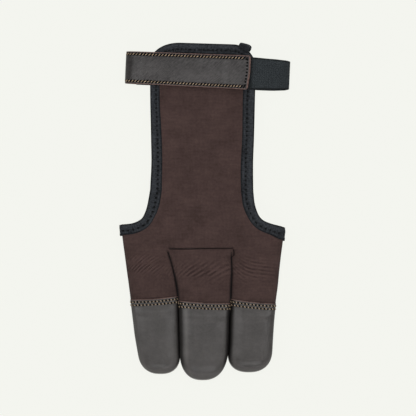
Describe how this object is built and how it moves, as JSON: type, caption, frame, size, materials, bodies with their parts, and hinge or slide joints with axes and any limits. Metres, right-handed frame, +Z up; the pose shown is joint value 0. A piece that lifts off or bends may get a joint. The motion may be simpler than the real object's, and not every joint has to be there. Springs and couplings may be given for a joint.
{
  "type": "archery glove",
  "caption": "three-finger shooting glove for the string hand, lying flat: open cloth hand with bound edges, leather fingertip caps and a closed wrist strap",
  "frame": {"origin": "middle of the glove's box, on the surface that it lies on", "axes": "+Z up away from the surface on the back-of-hand side, +Y from the fingertips to the wrist, +X towards the strap's elastic side"},
  "size_m": [0.1044, 0.2058, 0.0155],
  "materials": {
    "hand_cloth": "matt brown stretch cloth with a fine weave",
    "cap_leather": "soft black leather worn to charcoal, satin",
    "tab_leather": "black suede-like leather with tan stitches",
    "binding_tape": "matt black folded tape",
    "elastic_webbing": "ribbed black elastic",
    "closure_fleece": "black hook-and-loop pad, hidden"
  },
  "bodies": {
    "root": {"hand_shell": "hand_cloth", "middle_stall": "hand_cloth", "index_cap": "cap_leather", "middle_cap": "cap_leather", "ring_cap": "cap_leather", "edge_binding": "binding_tape", "binding_overlap": "binding_tape", "wrist_elastic": "elastic_webbing", "strap_tab": "tab_leather", "closure_pad": "closure_fleece"}
  },
  "joints": []
}
